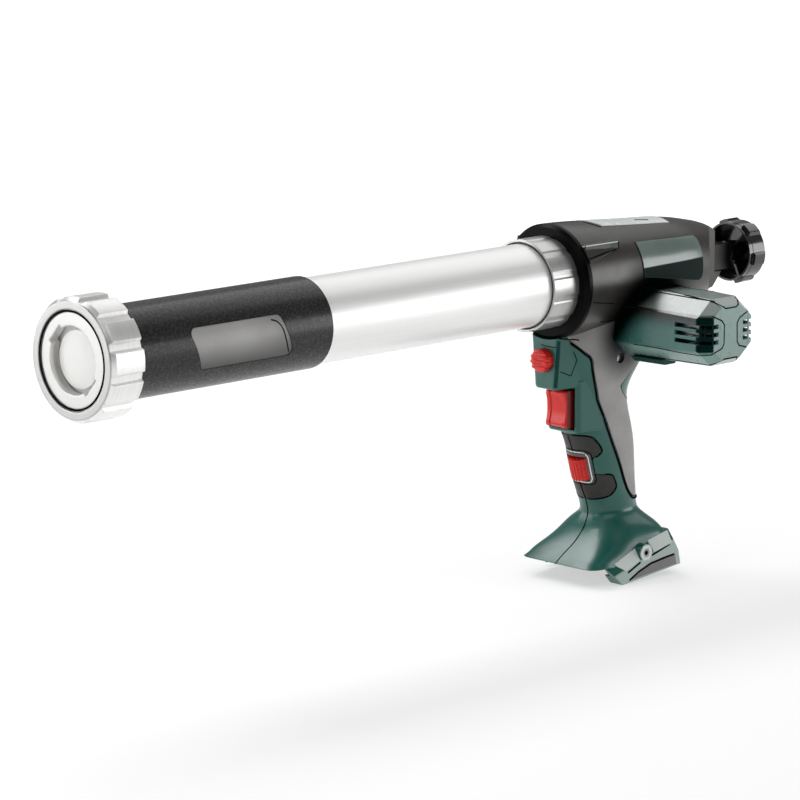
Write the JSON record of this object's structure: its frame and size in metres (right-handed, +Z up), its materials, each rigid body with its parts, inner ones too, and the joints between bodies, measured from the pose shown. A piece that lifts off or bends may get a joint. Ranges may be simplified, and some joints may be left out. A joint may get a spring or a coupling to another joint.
{
  "type": "cordless caulking tool",
  "caption": "Cordless caulking tool with an aluminium barrel, screw cap, geared push rod, side motor, pistol grip with trigger and speed dial, and a battery foot.",
  "frame": {"origin": "centre of the cap's front face on the barrel axis", "axes": "+X along the barrel from the cap to the knob, +Z up, handle towards -Z, motor towards -Y"},
  "size_m": [0.5855, 0.138, 0.2375],
  "materials": {
    "tube_aluminium": "satin",
    "turned_aluminium": "polished",
    "sleeve_black": "fine grain",
    "plate_grey": "satin",
    "seal_rubber": "matt",
    "flange_black": "satin",
    "housing_dark": "satin",
    "plate_pale": "satin",
    "shell_green": "satin",
    "soft_grip": "matt",
    "pad_black": "matt",
    "bezel_grey": "satin",
    "control_red": "gloss",
    "knob_black": "satin",
    "piston_white": "satin",
    "rod_steel": "blackened",
    "gear_steel": "ground",
    "bearing_steel": "polished",
    "case_metal": "cast",
    "motor_steel": "plated",
    "inner_plastic": "moulded",
    "contact_brass": "plated",
    "board_green": "laminate",
    "screw_steel": "zinc",
    "spring_steel": "drawn"
  },
  "bodies": {
    "tool_body": {"collar_nut": "turned_aluminium", "barrel_spigot": "turned_aluminium", "collar_seal": "seal_rubber", "front_flange": "flange_black", "housing_left": "housing_dark", "housing_right": "housing_dark", "top_plate": "plate_pale", "side_plate_left": "plate_pale", "side_plate_right": "plate_pale", "handle_left": "shell_green", "handle_right": "shell_green", "motor_cover_front": "shell_green", "motor_cover_rear": "shell_green", "rear_grip_left": "soft_grip", "rear_grip_right": "soft_grip", "front_pad_left": "pad_black", "front_pad_right": "pad_black", "rail_bumpers": "pad_black", "dial_bezel": "bezel_grey", "pinion_bearings": "bearing_steel", "motor_bearings": "bearing_steel", "gear_case": "case_metal", "bearing_plate": "case_metal", "motor_can": "motor_steel", "rod_bushes": "inner_plastic", "switch_module": "inner_plastic", "dial_potentiometer": "inner_plastic", "terminal_block": "inner_plastic", "terminal_blades": "contact_brass", "hook_inserts": "contact_brass", "control_board": "board_green", "case_screws": "screw_steel", "trigger_spring": "spring_steel", "button_spring": "spring_steel"},
    "barrel": {"barrel_tube": "tube_aluminium", "front_thread_ring": "turned_aluminium", "grip_sleeve": "sleeve_black", "sleeve_plate": "plate_grey"},
    "nozzle_carrier": {"nozzle_plate": "turned_aluminium", "cap_gasket": "seal_rubber"},
    "cap_nut": {"cap_nut": "turned_aluminium"},
    "feed": {"feed_rod": "rod_steel", "piston": "piston_white", "pull_knob": "knob_black", "knob_screw": "screw_steel"},
    "pinion": {"drive_pinion": "gear_steel"},
    "rotor": {"rotor": "motor_steel", "cooling_fan": "inner_plastic"},
    "first_carrier": {"first_carrier": "gear_steel"},
    "output_carrier": {"output_carrier": "gear_steel"},
    "trigger": {"trigger": "control_red"},
    "release_button": {"release_button": "control_red"},
    "speed_dial": {"speed_dial": "control_red"},
    "first_planet_a": {"first_planet_a": "gear_steel"},
    "first_planet_b": {"first_planet_b": "gear_steel"},
    "first_planet_c": {"first_planet_c": "gear_steel"},
    "second_planet_a": {"second_planet_a": "gear_steel"},
    "second_planet_b": {"second_planet_b": "gear_steel"},
    "second_planet_c": {"second_planet_c": "gear_steel"}
  },
  "joints": [
    {"name": "barrel_swivel", "type": "hinge", "parent": "tool_body", "child": "barrel", "pos_m": [0.2, 0, 0], "axis": [1, 0, 0], "continuous": true},
    {"name": "cap_advance", "type": "slide", "parent": "barrel", "child": "nozzle_carrier", "axis": [-1, 0, 0], "range_m": [0, 0.012]},
    {"name": "cap_turn", "type": "hinge", "parent": "nozzle_carrier", "child": "cap_nut", "pos_m": [0.01, 0, 0], "axis": [-1, 0, 0], "range_deg": [0, 1440]},
    {"name": "rod_slide", "type": "slide", "parent": "tool_body", "child": "feed", "axis": [1, 0, 0], "range_m": [0, 0.36]},
    {"name": "pinion_spin", "type": "hinge", "parent": "tool_body", "child": "pinion", "pos_m": [0.462, 0, -0.0287], "axis": [0, 1, 0], "range_deg": [-2, 1025]},
    {"name": "rotor_spin", "type": "hinge", "parent": "tool_body", "child": "rotor", "pos_m": [0.462, 0, -0.0287], "axis": [0, 1, 0], "continuous": true},
    {"name": "first_carrier_spin", "type": "hinge", "parent": "tool_body", "child": "first_carrier", "pos_m": [0.462, 0, -0.0287], "axis": [0, 1, 0], "continuous": true},
    {"name": "output_carrier_spin", "type": "hinge", "parent": "tool_body", "child": "output_carrier", "pos_m": [0.462, 0, -0.0287], "axis": [0, 1, 0], "continuous": true},
    {"name": "trigger_pull", "type": "slide", "parent": "tool_body", "child": "trigger", "axis": [1, 0, 0], "range_m": [0, 0.006], "stiffness_N_per_m": 900, "springref_m": -0.003, "deforming": ["trigger_spring"]},
    {"name": "button_press", "type": "slide", "parent": "tool_body", "child": "release_button", "axis": [1, 0, 0], "range_m": [0, 0.004], "stiffness_N_per_m": 900, "springref_m": -0.003, "deforming": ["button_spring"]},
    {"name": "dial_turn", "type": "hinge", "parent": "tool_body", "child": "speed_dial", "pos_m": [0.4304, 0, -0.126], "axis": [-0.2924, 0, 0.9563], "range_deg": [-135, 135]},
    {"name": "first_planet_a_spin", "type": "hinge", "parent": "first_carrier", "child": "first_planet_a", "pos_m": [0.462, 0, -0.0182], "axis": [0, 1, 0], "continuous": true},
    {"name": "first_planet_b_spin", "type": "hinge", "parent": "first_carrier", "child": "first_planet_b", "pos_m": [0.47109, 0, -0.03395], "axis": [0, 1, 0], "continuous": true},
    {"name": "first_planet_c_spin", "type": "hinge", "parent": "first_carrier", "child": "first_planet_c", "pos_m": [0.45291, 0, -0.03395], "axis": [0, 1, 0], "continuous": true},
    {"name": "second_planet_a_spin", "type": "hinge", "parent": "output_carrier", "child": "second_planet_a", "pos_m": [0.462, 0, -0.0182], "axis": [0, 1, 0], "continuous": true},
    {"name": "second_planet_b_spin", "type": "hinge", "parent": "output_carrier", "child": "second_planet_b", "pos_m": [0.47109, 0, -0.03395], "axis": [0, 1, 0], "continuous": true},
    {"name": "second_planet_c_spin", "type": "hinge", "parent": "output_carrier", "child": "second_planet_c", "pos_m": [0.45291, 0, -0.03395], "axis": [0, 1, 0], "continuous": true}
  ],
  "couplings": [
    {"joint": "cap_advance", "follows": "cap_turn", "m_per_rad": 0.00047746},
    {"joint": "pinion_spin", "follows": "rod_slide", "rad_per_m": 49.383},
    {"joint": "first_carrier_spin", "follows": "rotor_spin", "ratio": 0.2},
    {"joint": "output_carrier_spin", "follows": "rotor_spin", "ratio": 0.04},
    {"joint": "first_planet_a_spin", "follows": "rotor_spin", "ratio": -0.53333},
    {"joint": "first_planet_b_spin", "follows": "rotor_spin", "ratio": -0.53333},
    {"joint": "first_planet_c_spin", "follows": "rotor_spin", "ratio": -0.53333},
    {"joint": "second_planet_a_spin", "follows": "rotor_spin", "ratio": -0.10667},
    {"joint": "second_planet_b_spin", "follows": "rotor_spin", "ratio": -0.10667},
    {"joint": "second_planet_c_spin", "follows": "rotor_spin", "ratio": -0.10667}
  ]
}
